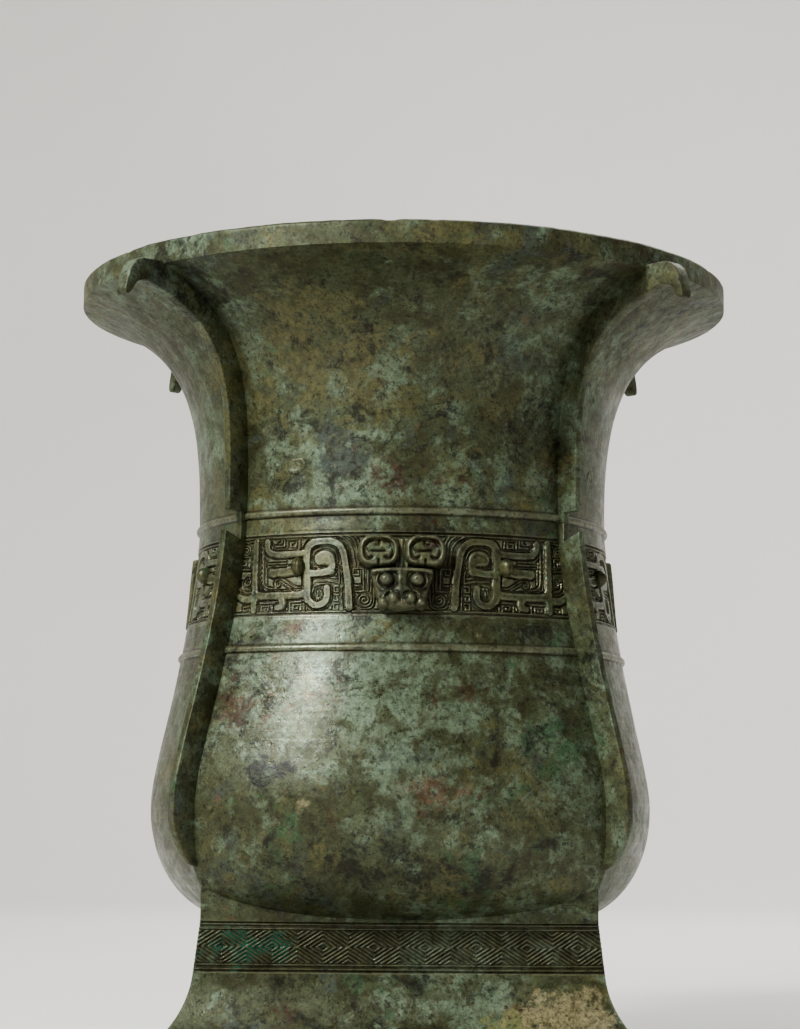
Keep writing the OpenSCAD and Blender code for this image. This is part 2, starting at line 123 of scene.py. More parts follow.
def ease(t):
    t = np.clip(t, 0.0, 1.0)
    return t * t * (3 - 2 * t)


def bezier(a, b, c, d, steps):
    t = np.linspace(0, 1, steps + 1)[:, None]
    a, b, c, d = (np.array(p, float) for p in (a, b, c, d))
    return (1 - t) ** 3 * a + 3 * t * (1 - t) ** 2 * b + 3 * t * t * (1 - t) * c + t ** 3 * d


def spaced(points, step):
    """The same line with a point about every step."""
    points = np.array(points, float)
    run = np.concatenate([[0], np.cumsum(np.linalg.norm(np.diff(points, axis=0), axis=1))])
    count = max(1, round(run[-1] / step))
    at = np.linspace(0, run[-1], count + 1)
    return np.stack([np.interp(at, run, points[:, i]) for i in range(points.shape[1])], 1)


def rounded(points, passes=3):
    """The same line with its corners cut round."""
    points = np.array(points, float)
    for _ in range(passes):
        near = mix(points[:-1], points[1:], 0.25)
        far = mix(points[:-1], points[1:], 0.75)
        inner = np.stack([near, far], 1).reshape(-1, 2)
        points = np.vstack([points[:1], inner, points[-1:]])
    return points


LATTICE_SIZE = 32
LATTICE = np.random.default_rng(7).uniform(-1, 1, (LATTICE_SIZE,) * 3)


def noise(points, size):
    """Smooth noise from -1 to 1 at points in mm, with swells about size mm across."""
    place = np.asarray(points) / size
    cell = np.floor(place).astype(int)
    t = ease(place - cell)
    total = 0.0
    for corner in np.ndindex(2, 2, 2):
        weight = np.prod(np.where(corner, t, 1 - t), axis=-1)
        i, j, k = np.moveaxis((cell + corner) % LATTICE_SIZE, -1, 0)
        total = total + weight * LATTICE[i, j, k]
    return total


def blurred(height, reach):
    """A height map averaged over reach cells each way, three times."""
    for _ in range(3):
        for axis in (0, 1):
            pad = [(0, 0), (0, 0)]
            pad[axis] = (reach + 1, reach)
            run = np.cumsum(np.pad(height, pad, mode="edge"), axis=axis)
            count = height.shape[axis]
            top = np.take(run, np.arange(count) + 2 * reach + 1, axis=axis)
            bottom = np.take(run, np.arange(count), axis=axis)
            height = (top - bottom) / (2 * reach + 1)
    return height


# The walls: each level is a square ring of four arcs

neck_line = bezier((waist_r, z_seam), (waist_r, mix(z_seam, z_lip, 0.53)),
                   (mix(waist_r, mouth_r, 0.09), mix(z_seam, z_lip, 0.85)), (mouth_r, z_lip), 400)
belly_line = bezier((belly_r, z_wide), (belly_r, mix(z_wide, z_seam, 0.15)),
                    (mix(waist_r, belly_r, 0.32), mix(z_wide, z_seam, 0.43)), (waist_r, z_seam), 200)
bowl_foot = foot_r + foot_bow
bowl_line = bezier((bowl_foot, z_foot), (mix(bowl_foot, belly_r, 0.585), mix(z_foot, z_wide, 0.14)),
                   (belly_r, mix(z_foot, z_wide, 0.5)), (belly_r, z_wide), 200)
foot_curve = bezier((base_r, edge_h), (mix(foot_r, base_r, 0.37), mix(edge_h, z_foot, 0.25)),
                    (mix(foot_r, base_r, 0.155), mix(edge_h, z_foot, 0.43)),
                    (mix(foot_r, base_r, 0.12), mix(edge_h, z_foot, 0.63)), 100)
foot_line = np.vstack([[(base_r, 0)], foot_curve, [(foot_r, z_foot)]])
wall_line = np.vstack([bowl_line, belly_line[1:], neck_line[1:]])


def face_r(z):
    return np.interp(z, wall_line[:, 1], wall_line[:, 0])


def square_at(z):
    """How much further out the corner is than the middle of a face."""
    z = np.asarray(z, float)
    neck = mix(waist_square, 1.0, ease((z - z_seam) / (z_lip - z_seam)))
    belly = mix(waist_square, belly_square, ease((z_seam - z) / (z_seam - z_wide)))
    bowl = mix(belly_square, belly_square + 0.06, ease((z_wide - z) / (z_wide - z_foot)))
    return np.where(z > z_seam, neck, np.where(z > z_wide, belly, bowl))


def corner_r(z):
    return face_r(z) * square_at(z)


def bow(z, middle):
    """How far a raised bowstring line stands out at height z."""
    across = np.clip((z - middle) / (bow_w / 2), -1, 1)
    return bow_out * np.sqrt(1 - across ** 2)


def arc_of(middle, corner):
    """Radius and half angle of the arc that makes one face of a ring."""
    c = corner / math.sqrt(2)
    rise = np.maximum(middle - c, 1e-6)
    radius = (c * c + rise * rise) / (2 * rise)
    return radius, np.arcsin(np.clip(c / radius, -1, 1))


def turned(x, y, face):
    """A place given along (x) and out of (y) a face, in plan. Face 0 is the front, then to the right."""
    angle = math.pi / 2 * face
    return x * math.cos(angle) + y * math.sin(angle), x * math.sin(angle) - y * math.cos(angle)


def wall_grid(rings, per_face, relief=None, uneven=0.3):
    """Points of a wall from its rings (middle, corner, z): one row a ring, per_face points on each face.
    relief(along, z) gives the height of the ornament, and uneven how far the casting wanders, inwards."""
    middle, corner, z = (rings[:, i][:, None] for i in range(3))
    radius, half = arc_of(middle, corner)
    across = np.linspace(-1, 1, per_face, endpoint=False)[None, :]
    angle = half * across
    rows = []
    heights = []
    for face in range(4):
        height = np.zeros(angle.shape)
        if relief is not None:
            height = relief(radius * angle, z + 0 * angle)
        x = radius * np.sin(angle)
        y = radius * np.cos(angle) - radius + middle
        smooth = np.stack([*turned(x, y, face), z + 0 * x], -1)
        wander = noise(smooth, 34.0) + 0.35 * noise(smooth + 50, 9.0)
        push = height - uneven * (1 + wander) * 0.6
        along_x, along_y = turned(np.sin(angle), np.cos(angle), face)
        rows.append(smooth + np.stack([along_x, along_y, 0 * along_x], -1) * push[..., None])
        heights.append(height)
    return np.concatenate(rows, 1), np.concatenate(heights, 1)


# Thread relief: every line is a thin raised thread with a sunk groove on each side

groove_depth = 0.72
thread_w = 0.42
groove_w = 1.75
band_spread = 0.5


def thread_height(near):
    """Height of the surface at a distance from the nearest thread's middle."""
    groove = 1 - ease((near - 0.36 * groove_w) / (0.2 * groove_w))
    thread = 1 - ease((near - 0.35 * thread_w) / (0.6 * thread_w))
    return groove_depth * (0.92 * thread - 1.0) * groove


def near_line(x, y, points):
    """Distance from places x, y to a line of points."""
    near = np.full(np.broadcast(x, y).shape, 99.0)
    points = np.array(points, float)
    for a, b in zip(points[:-1], points[1:]):
        run = b - a
        t = np.clip(((x - a[0]) * run[0] + (y - a[1]) * run[1]) / max(run @ run, 1e-9), 0, 1)
        near = np.minimum(near, np.hypot(x - a[0] - t * run[0], y - a[1] - t * run[1]))
    return near


class Sheet:
    """A flat drawing of threads in mm, kept as the distance from each place to the nearest thread."""

    def __init__(self, width, height, step=0.12):
        self.step = step
        self.x = np.arange(0, width + step, step)
        self.y = np.arange(0, height + step, step)
        self.near = np.full((len(self.y), len(self.x)), 9.0)
        self.inside = np.full(self.near.shape, -9.0)

    def line(self, *points):
        points = np.array(points, float)
        for a, b in zip(points[:-1], points[1:]):
            reach = 4.0
            x0, x1 = np.searchsorted(self.x, [min(a[0], b[0]) - reach, max(a[0], b[0]) + reach])
            y0, y1 = np.searchsorted(self.y, [min(a[1], b[1]) - reach, max(a[1], b[1]) + reach])
            part = self.near[y0:y1, x0:x1]
            np.minimum(part, near_line(self.x[None, x0:x1], self.y[y0:y1, None], (a, b)), out=part)

    def curve(self, *points):
        self.line(*rounded(points))

    def band(self, width, *points):
        """A broad smooth band. inside is how far a place lies within the nearest one."""
        away = near_line(self.x[None, :], self.y[:, None], rounded(points))
        self.inside = np.maximum(self.inside, (width + band_spread) / 2 - away)

    def spiral(self, x, y, radius, turns, start=0.0):
        t = np.linspace(0, 1, 40)
        angle = start + 2 * math.pi * turns * t
        r = mix(radius, 0.35, t)
        self.line(*np.stack([x + r * np.cos(angle), y + r * np.sin(angle)], 1))

    def key(self, x, y, w, h):
        """A small square spiral with its corner at x, y."""
        side = 1 if w > 0 else -1
        w = abs(w)
        self.line((x, y), (x, y + h), (x + side * w, y + h), (x + side * w, y + 0.25 * h),
                  (x + side * 0.45 * w, y + 0.25 * h), (x + side * 0.45 * w, y + 0.6 * h))

    def at(self, values, x, y):
        """Values of this sheet's grid at places x, y."""
        i = np.clip(x / self.step, 0, len(self.x) - 1.001)
        j = np.clip(y / self.step, 0, len(self.y) - 1.001)
        i0, j0 = i.astype(int), j.astype(int)
        fi, fj = i - i0, j - j0
        low = values[j0, i0] * (1 - fi) + values[j0, i0 + 1] * fi
        high = values[j0 + 1, i0] * (1 - fi) + values[j0 + 1, i0 + 1] * fi
        return low * (1 - fj) + high * fj


def dragon_sheet():
    """Right half of the frieze, from the mask outwards: x from the middle, y from the lower border."""
    s = Sheet(64, frieze_h + 1)
    # borders
    for y in (0.1, 1.4, frieze_h - 1.2, frieze_h):
        s.line((0, y), (64, y))
    # bands: leg, arch and back of the body, its curl, the cup below, jaws, snout, foot and corner column
    s.band(2.9, (18, 2.6), (18.3, 8), (18.9, 13), (19.6, 18), (20.3, 22), (21.8, 24.6), (24.2, 25.9),
           (27.5, 26.1), (30.8, 25.7), (33, 24.2), (33.6, 21), (33.4, 15), (33.1, 10), (33, 5.5))
    s.band(4.6, (28.6, 19.6), (26.9, 20.7), (25.8, 19.8))
    s.band(2.8, (25, 19.8), (23.9, 17.6), (24.6, 15.6), (27, 14.8), (33, 14.6))
    s.band(2.9, (26.1, 9.6), (25.8, 6.6), (26.6, 4.6), (28.6, 3.6), (31, 3.7), (33, 6))
    s.band(2.4, (34, 22), (38, 22), (44, 21.9), (47.4, 22.2), (49.2, 24), (49.4, 26.8))
    s.band(3.2, (36.5, 16.5), (41, 15.7), (46.6, 15.5))
    s.band(2.6, (33.5, 8), (37, 7.5), (45, 7.5), (53, 7.7))
    s.band(2.6, (43, 6.5), (42.4, 3.9), (44.2, 3.1))
    s.band(2.7, (54, 2.4), (54, 27))
    s.band(2.2, (55.5, 6.6), (58.5, 6.4), (60.4, 7.6))
    # filling that a mask covers, beside the ribs of the side faces
    for side, x in ((1, 4.4), (-1, 10.6)):
        s.key(x, 5 if side > 0 else 14, 5.2 * side, 6.0)
        s.key(x, 14 if side > 0 else 21, 5.0 * side, 5.4)
    s.spiral(6.6, 23.4, 2.6, 2.0, 0.4)
    # lines that follow the body's arch beside the horn
    s.curve((30, 26.4), (23, 27.0), (20, 25.6), (18.4, 22.8), (17.8, 19.5), (17.4, 16.5))
    s.curve((21.6, 27.5), (18.6, 25.8), (17.1, 23), (16.5, 19.5), (16.1, 17.3))
    s.curve((18.4, 27.4), (16.4, 26), (15.6, 22.5), (15.2, 19), (14.9, 17.5))
    s.curve((16.2, 27.4), (15.1, 25.6), (14.4, 22.5))
    # hook and spiral between the mask and the leg
    s.line((13.1, 8.8), (13.4, 16.2), (16.8, 16.2), (16.8, 14), (15, 14), (15, 15.2))
    s.line((11.7, 15.6), (11.7, 8.4), (16.6, 8.2))
    s.line((14.6, 10.2), (17.4, 10.2))
    s.spiral(12.9, 5.3, 2.6, 2.0, 2.4)
    s.curve((9.6, 9), (9.6, 4), (10.6, 2.4), (14.6, 2.2), (16.2, 3.8), (16.6, 8))
    # leg, arch and the round head of the hook
    s.curve((17.6, 9.6), (16.8, 5), (17, 3.2), (18.4, 2.2), (20.4, 2.2))
    s.curve((20.6, 2.2), (20.6, 13), (20.9, 18.5), (22, 22.4), (24.2, 24.3), (27, 24.7), (30.2, 24.2),
            (32.2, 22.9), (33, 20.4), (32.7, 17.6), (31.3, 16.7), (28.2, 17))
    s.curve((23.3, 16.6), (22.3, 18.6), (22.4, 20.8), (23.6, 22.7), (25.6, 23.6), (29.4, 23.4),
            (31.2, 22), (31.5, 19.6), (30.6, 18), (28.4, 18.1))
    s.curve((21.7, 11.3), (21.7, 14.6), (22.4, 16), (24, 17))
    # bars and slot of the lower hook
    s.line((22.6, 13), (31.2, 13.6))
    s.line((21.9, 11.2), (24.6, 11.9), (30.8, 12.1))
    s.curve((24.6, 10.7), (30.4, 10.9), (31.1, 9.6), (31.1, 7), (30.2, 5.6), (28.4, 5.7), (27.6, 7.2),
            (27.7, 9), (28.9, 9.8))
    s.line((29.3, 6.8), (29.3, 8.6))
    for y in (2.2, 5.2, 8.2):
        s.line((21.9, y + 2), (23.5, y + 2), (23.5, y), (22.1, y), (22.1, y + 1))
    s.curve((24.4, 10.4), (24.3, 5.5), (25.4, 3.2), (28.2, 2.1), (31.4, 2.2), (33.2, 3.6), (33.8, 5))
    # meanders along the lower border
    s.line((34.2, 2), (34.2, 5.1), (39.8, 5), (39.6, 1.8))
    s.key(35.5, 2.2, 2.8, 1.8)
    s.line((44.5, 4.9), (52.4, 4.9))
    s.line((46.7, 4.7), (46.5, 1.8))
    s.key(48.1, 2.1, 2.9, 1.7)
    s.line((53.6, 4.4), (53.4, 1.9))
    s.key(55.5, 2.1, 3.2, 1.8)
    # jaw, throat lines and crest of the head
    for y in (17.6, 18.6, 19.6):
        s.line((41.8, y), (49.0, y + 0.1))
    s.curve((46, 19.9), (49, 20.3), (50.3, 21.8))
    s.curve((35.8, 9.9), (38, 9.9), (40.5, 11.6), (43, 13.2), (45.2, 13.2), (46, 11.8), (45.4, 10.5),
            (43.9, 10.7), (43.9, 11.8))
    s.curve((38.8, 9.5), (41.2, 10.9), (42.6, 11.8))
    s.curve((36, 8.4), (44, 8.8), (49.6, 9.1), (51.8, 10), (52.1, 12.5), (52.2, 23), (52.9, 26),
            (54.2, 26.9), (57.5, 26.9))
    s.curve((46.5, 9.7), (49.6, 10.4), (50.7, 12), (50.9, 17), (51, 26.2))
    s.line((49.3, 12), (49.5, 17))
    s.line((36.6, 26.4), (36.3, 23), (47.3, 23.5), (47.3, 25.2))
    s.line((37.8, 26), (37.8, 24.3), (40, 24.4), (40, 25.8), (38.8, 25.8))
    s.line((41.2, 26.6), (41.2, 24.4))
    s.line((42.4, 26.8), (42.5, 24.6), (46, 24.7))
    s.curve((43.6, 26.8), (43.4, 25.9), (44.6, 25.7))
    # spirals in the corner column
    s.spiral(58.7, 23.8, 2.0, 1.8, 1.0)
    s.line((56.6, 17), (60.9, 17.3))
    s.key(57, 17.8, 3.7, 3.8)
    s.curve((61.2, 16.2), (61.4, 11), (60.2, 9.2), (57.5, 8.4), (55.8, 8.6))
    s.curve((55.7, 9.9), (58.6, 10), (59.8, 11.3), (60, 13))
    s.curve((56, 13.7), (56.6, 11.6), (58.3, 11.4), (58.7, 13), (57.6, 13.9))
    return s


DRAGON = dragon_sheet()
body_swell = 0.42


def frieze_relief(along, z):
    """Height of the dragon frieze, mirrored about the middle of each face."""
    y = z - frieze_low
    x = np.abs(along)
    y_in = np.clip(y, 0, frieze_h)
    near = DRAGON.at(DRAGON.near, x, y_in)
    inside = DRAGON.at(DRAGON.inside, x, y_in)
    threads = thread_height(np.maximum(near, 1.6 * inside))
    outline = -groove_depth * (1 - ease(np.abs(inside + 0.34) / 0.42))
    crown = body_swell * (1 - (1 - np.clip(inside / 0.7, 0, 1)) ** 2)
    within = ease((y - 1.6) / 1.0) * ease((frieze_h - 1.6 - y) / 1.0)
    edge = ease((y + 1.2) / 0.6) * ease((frieze_h + 1.2 - y) / 0.6)
    return (np.minimum(threads, outline * within) + (crown - 0.8 * body_swell) * within) * edge


lozenges = 8
lozenge_lines = 4
band_border = 1.45


def band_relief(along, z):
    """Height of the foot's band: nested lozenges between double threads."""
    low = band_low + 3.4
    high = band_high - 3.0
    period = 2 * foot_r / lozenges * 1.02
    x = np.abs((along / period) % 1.0 - 0.5) * 2
    y = np.abs(z - (low + high) / 2) / ((high - low) / 2)
    inset = 1 / math.hypot(2 / period, 2 / (high - low))
    turns = (x + y) * lozenge_lines
    near = np.abs(turns - np.round(turns)) * inset / lozenge_lines
    near = np.where(y > 1, 9.0, near)
    for border in (low - 0.5, low - 0.5 - band_border, high + 0.5, high + 0.5 + band_border):
        near = np.minimum(near, np.abs(z - border))
    edge = ease((z - band_low) / 0.5) * ease((band_high - z) / 0.5)
    return thread_height(near) * edge


# Meshes

def quads_of(rows, columns, around, closed=False):
    """Faces of a grid of points, joined round its columns, and its last row to its first if closed."""
    i = np.arange(rows if closed else rows - 1)[:, None]
    j = np.arange(columns if around else columns - 1)[None, :]
    up = (i + 1) % rows
    on = (j + 1) % columns
    corners = [i * columns + j, i * columns + on, up * columns + on, up * columns + j]
    return np.stack(corners, -1).reshape(-1, 4)


def placed(name, data):
    """A new object in the scene."""
    made = bpy.data.objects.new(name, data)
    bpy.context.scene.collection.objects.link(made)
    return made


def new_piece(name, points, quads, hollow=None, crease=35):
    """A smooth mesh object from points in mm. hollow is how deep each point lies below its surroundings."""
    mesh = bpy.data.meshes.new(name)
    mesh.vertices.add(len(points))
    mesh.vertices.foreach_set("co", (points * MM).astype(np.float32).ravel())
    mesh.loops.add(quads.size)
    mesh.loops.foreach_set("vertex_index", quads.astype(np.int32).ravel())
    mesh.polygons.add(len(quads))
    mesh.polygons.foreach_set("loop_start", np.arange(0, quads.size, 4, dtype=np.int32))
    mesh.update(calc_edges=True)
    mesh.validate()
    if hollow is not None:
        layer = mesh.attributes.new("hollow", "FLOAT", "POINT")
        layer.data.foreach_set("value", hollow.astype(np.float32).ravel())
    mesh.shade_smooth()
    if crease:
        mesh.set_sharp_from_angle(angle=math.radians(crease))
    return placed(name, mesh)


def joined(grids):
    """One set of points, faces and hollows from several grids (points, heights, closed)."""
    points, quads, hollow = [], [], []
    start = 0
    for place, height, closed in grids:
        rows, columns = height.shape
        points.append(place.reshape(-1, 3))
        quads.append(quads_of(rows, columns, True, closed) + start)
        hollow.append((blurred(height, 3) - height).ravel())
        start += rows * columns
    return np.vstack(points), np.vstack(quads), np.concatenate(hollow)


def dressed(piece, material, slot, *nodes):
    """Gives a piece its finish and puts it in the place of its nodes."""
    piece.data.materials.clear()
    piece.data.materials.append(material)
    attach(piece, "root")
    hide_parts(*nodes)
    return piece


# Materials

def node_of(tree, kind, **settings):
    made = tree.nodes.new(kind)
    for key, value in settings.items():
        setattr(made, key, value)
    return made


class Paint:
    """A short way to write a material's nodes."""

    def __init__(self, name):
        self.material = bpy.data.materials.new(name)
        self.material.use_nodes = True
        self.tree = self.material.node_tree
        self.shader = self.tree.nodes["Principled BSDF"]
        self.place = node_of(self.tree, "ShaderNodeTexCoord").outputs["Object"]

    def link(self, value, socket):
        if hasattr(value, "is_linked"):
            self.tree.links.new(value, socket)
        else:
            socket.default_value = value

    def math(self, operation, a, b):
        made = node_of(self.tree, "ShaderNodeMath", operation=operation)
        self.link(a, made.inputs[0])
        self.link(b, made.inputs[1])
        return made.outputs[0]

    def plus(self, a, b):
        return self.math("ADD", a, b)

    def minus(self, a, b):
        return self.math("SUBTRACT", a, b)

    def times(self, a, b):
        return self.math("MULTIPLY", a, b)

    def scaled(self, x, y, z):
        made = node_of(self.tree, "ShaderNodeMapping")
        self.link(self.place, made.inputs["Vector"])
        made.inputs["Scale"].default_value = (x, y, z)
        return made.outputs[0]

    def noise(self, size_mm, detail=5.0, rough=0.55, twist=0.0, place=None, seed=0.0):
        made = node_of(self.tree, "ShaderNodeTexNoise", noise_dimensions="4D")
        self.link(place or self.place, made.inputs["Vector"])
        made.inputs["W"].default_value = seed
        made.inputs["Scale"].default_value = 1 / (size_mm * MM) if place is None else 1.0
        made.inputs["Detail"].default_value = detail
        made.inputs["Roughness"].default_value = rough
        made.inputs["Distortion"].default_value = twist
        return made.outputs["Fac"]

    def cells(self, size_mm):
        made = node_of(self.tree, "ShaderNodeTexVoronoi")
        self.link(self.place, made.inputs["Vector"])
        made.inputs["Scale"].default_value = 1 / (size_mm * MM)
        return made.outputs["Distance"]

    def between(self, value, low, high):
        """0 below low, 1 above high, smooth between."""
        made = node_of(self.tree, "ShaderNodeMapRange", interpolation_type="SMOOTHSTEP")
        self.link(value, made.inputs["Value"])
        made.inputs["From Min"].default_value = low
        made.inputs["From Max"].default_value = high
        return made.outputs["Result"]

    def blend(self, amount, a, b):
        """Colour a where amount is 0, b where it is 1."""
        made = node_of(self.tree, "ShaderNodeMix", data_type="RGBA")
        self.link(amount, made.inputs["Factor"])
        colours = [socket for socket in made.inputs if socket.type == "RGBA"]
        for value, socket in zip((a, b), colours):
            self.link(value if hasattr(value, "is_linked") else (*value, 1), socket)
        return [socket for socket in made.outputs if socket.type == "RGBA"][0]

    def spot(self, middle_mm, reach_mm):
        """1 at a place on the object, falling to 0 at reach from it along each axis."""
        shift = node_of(self.tree, "ShaderNodeVectorMath", operation="SUBTRACT")
        self.link(self.place, shift.inputs[0])
        shift.inputs[1].default_value = [v * MM for v in middle_mm]
        shrink = node_of(self.tree, "ShaderNodeVectorMath", operation="DIVIDE")
        self.link(shift.outputs[0], shrink.inputs[0])
        shrink.inputs[1].default_value = [v * MM for v in reach_mm]
        length = node_of(self.tree, "ShaderNodeVectorMath", operation="LENGTH")
        self.link(shrink.outputs[0], length.inputs[0])
        return self.minus(1.0, self.between(length.outputs["Value"], 0.0, 1.0))

    def height(self, low_mm, high_mm):
        """0 below a height on the object, 1 above another."""
        parts = node_of(self.tree, "ShaderNodeSeparateXYZ")
        self.link(self.place, parts.inputs[0])
        return self.between(parts.outputs["Z"], low_mm * MM, high_mm * MM)

    def attribute(self, name):
        return node_of(self.tree, "ShaderNodeAttribute", attribute_name=name).outputs["Fac"]

    def bump(self, height, depth_mm, under=None, strength=1.0):
        made = node_of(self.tree, "ShaderNodeBump")
        made.inputs["Strength"].default_value = strength
        made.inputs["Distance"].default_value = depth_mm * MM
        self.link(height, made.inputs["Height"])
        if under is not None:
            self.link(under, made.inputs["Normal"])
        return made.outputs["Normal"]


olive = (0.052, 0.055, 0.024)
moss = (0.082, 0.098, 0.050)
mint = (0.165, 0.222, 0.150)
straw = (0.122, 0.118, 0.050)
blue_grey = (0.062, 0.080, 0.072)
leaf = (0.050, 0.120, 0.056)
# Blackened metal, also used at one place on the belly as painted shade
black_bronze_and_shade = (0.013, 0.014, 0.009)
plum = (0.015, 0.015, 0.014)
red_brown = (0.060, 0.026, 0.013)
cuprite = (0.150, 0.060, 0.034)
ochre = (0.340, 0.300, 0.170)
lichen = (0.210, 0.225, 0.085)
turquoise = (0.018, 0.175, 0.115)
# Soil in the hollows, also painted shade in grooves and recesses
earth_and_hollow_shade = (0.046, 0.028, 0.016)
worn = (0.175, 0.180, 0.115)

# Films of the patina, from the metal up: colour, size of its clouds in mm, how much field it takes to show,
# softness, strength, and the places that the photograph shows it at (one dark place stands for painted
# shade).
# A place is its middle and its reach along each axis in mm, and how much it adds to the field.
FILMS = [
    (straw, 14, 0.575, 0.07, 0.9, [
        ((-30, -76, 244), (52, 60, 30), 0.13), ((34, -86, 104), (38, 40, 22), 0.12),
        ((0, 0, 281), (170, 170, 10), 0.16), ((-66, -66, 226), (18, 18, 50), 0.10),
        ((80, -80, 130), (16, 16, 80), 0.16)]),
    (blue_grey, 12, 0.62, 0.06, 0.85, [
        ((-14, -74, 212), (30, 40, 20), 0.15), ((2, -89, 108), (20, 30, 11), 0.14)]),
    (mint, 10, 0.560, 0.085, 0.92, [
        ((-26, -86, 128), (66, 60, 44), 0.14), ((-16, -74, 197), (56, 50, 12), 0.13),
        ((24, -84, 104), (60, 40, 34), 0.06), ((30, -78, 22), (24, 40, 10), 0.10),
        ((80, -80, 130), (16, 16, 80), 0.05),
        ((0, 0, 266), (190, 190, 44), -0.11)]),
    (leaf, 11, 0.66, 0.06, 0.85, [
        ((-40, -84, 86), (30, 40, 19), 0.17), ((50, -78, 114), (17, 30, 17), 0.09)]),
    (black_bronze_and_shade, 9, 0.60, 0.045, 0.9, [
        # The place at x 56, z 120 on the right of the belly is painted shade, not a dark film
        ((-38, -70, 224), (17, 30, 17), 0.12), ((56, -76, 120), (20, 20, 34), 0.06),
        ((6, -80, 70), (90, 60, 13), 0.09), ((-60, -72, 84), (16, 40, 8), 0.12)]),
    (red_brown, 7, 0.65, 0.05, 0.85, [
        ((-6, -72, 203), (24, 40, 10), 0.16), ((20, -84, 128), (24, 40, 9), 0.17),
        ((-57, -72, 125), (8, 40, 20), 0.18), ((-10, -80, 21), (70, 60, 9), 0.10)]),
    (cuprite, 6, 0.70, 0.09, 0.7, [
        ((10, -88, 97), (26, 40, 15), 0.26), ((38, -78, 22), (14, 40, 6), 0.26)]),
    (plum, 8, 0.72, 0.06, 0.95, [
        ((-47, -78, 101), (12, 40, 10), 0.36), ((-37, -82, 104), (8, 40, 8), 0.31)]),
    (lichen, 8, 0.76, 0.06, 0.9, [((36, -84, 16), (24, 50, 16), 0.50)]),
    (ochre, 7, 0.77, 0.05, 0.9, [
        ((56, -78, 20), (38, 50, 22), 0.52), ((-33, -84, 91), (6, 40, 7), 0.33)]),
]
# Middle and reach of the place that is rubbed bright, and of the blue-green part of the foot's band
POLISHED = ((-33, -82, 134), (46, 60, 40))
VERDIGRIS = ((-50, -72, 44), (40, 60, 11))


def patina(name, wear=1.0, green=1.0):
    """Old bronze: olive metal under mottled films and stains, soil and painted shade in the hollows, worn
    high edges.
    """
    p = Paint(name)
    mottle = p.noise(8, 7, 0.84, 0.3, seed=2.0)
    pepper = p.noise(1.7, 4, 0.75, seed=8.0)
    grain = p.noise(0.9, 3, 0.6, seed=6.0)
    streak = p.noise(1, 3, 0.55, place=p.scaled(14, 14, 1100), seed=3.0)
    flare = p.height(mix(z_seam, z_lip, 0.5), mix(z_seam, z_lip, 0.9))
    streak = p.minus(streak, p.times(flare, 0.3))
    polish = p.spot(*POLISHED)
    brushed = p.plus(p.times(polish, 0.6), 0.4)
    streak = p.plus(p.times(p.minus(streak, 0.5), brushed), 0.5)
    hollow = p.attribute("hollow")

    colour = p.blend(p.between(p.noise(10, 7, 0.84, 0.4, seed=4.0), 0.44, 0.56), olive, moss)
    crust = 0.0
    for count, (film, size, level, soft, strength, places) in enumerate(FILMS):
        seed = 30.0 + 4 * count
        drift = p.minus(p.noise(46, 2, 0.5, 0.4, seed=seed + 2), 0.5)
        field = p.plus(p.noise(size, 5, 0.70, 0.5, seed=seed), p.times(drift, 0.45))
        for middle, reach, push in places:
            field = p.plus(field, p.times(p.spot(middle, reach), push))
        break_up = p.between(p.noise(1.9, 3, 0.8, seed=seed + 1), 0.36, 0.58)
        break_up = p.plus(p.times(break_up, 0.65), 0.35)
        amount = p.times(p.between(field, level - soft, level + soft), strength)
        amount = p.times(amount, break_up)
        if film is mint:
            amount = p.times(amount, green)
            crust = amount
        colour = p.blend(amount, colour, film)

    # Soil in the hollows, standing also for painted shade in grooves, recesses and beside raised lines
    sunk = p.between(hollow, 0.04, 0.32)
    colour = p.blend(p.times(sunk, 0.62), colour, earth_and_hollow_shade)
    seep = p.times(p.spot(*VERDIGRIS), 0.2)
    verdigris = p.between(p.plus(mottle, seep), 0.6, 0.68)
    verdigris = p.times(verdigris, p.between(hollow, -0.05, 0.1))
    colour = p.blend(p.times(verdigris, 0.85), colour, turquoise)
    raised = p.times(p.between(p.times(hollow, -1.0), 0.02, 0.22), 0.5 * wear)
    colour = p.blend(raised, colour, worn)
    colour = p.blend(p.times(p.between(streak, 0.52, 0.72), 0.14), colour, worn)
    shade = p.between(p.noise(3.2, 6, 0.85, seed=12.0), 0.42, 0.62)
    colour = p.blend(p.times(shade, 0.4), colour, black_bronze_and_shade)
    colour = p.blend(p.times(p.between(pepper, 0.53, 0.63), 0.7), colour, black_bronze_and_shade)
    colour = p.blend(p.times(p.between(grain, 0.50, 0.68), 0.35), colour, black_bronze_and_shade)
    p.link(colour, p.shader.inputs["Base Color"])

    rough = p.plus(p.times(p.between(mottle, 0.40, 0.60), 0.2), 0.29)
    rough = p.plus(rough, p.times(flare, 0.16))
    rough = p.plus(rough, p.times(crust, 0.1))
    rough = p.minus(rough, p.times(p.between(streak, 0.45, 0.7), 0.1))
    rough = p.minus(rough, p.times(polish, 0.18))
    p.link(rough, p.shader.inputs["Roughness"])
    p.shader.inputs["Metallic"].default_value = 0.35
    p.shader.inputs["Specular IOR Level"].default_value = 0.42

    normal = p.bump(mottle, 0.6, strength=0.2)
    normal = p.bump(crust, 0.05, normal, 0.5)
    normal = p.bump(p.between(p.cells(3.1), 0.0, 0.22), 0.12, normal, 0.3)
    normal = p.bump(streak, 0.05, normal, 0.5)
    normal = p.bump(grain, 0.10, normal, 0.35)
    p.link(normal, p.shader.inputs["Normal"])
    return p.material


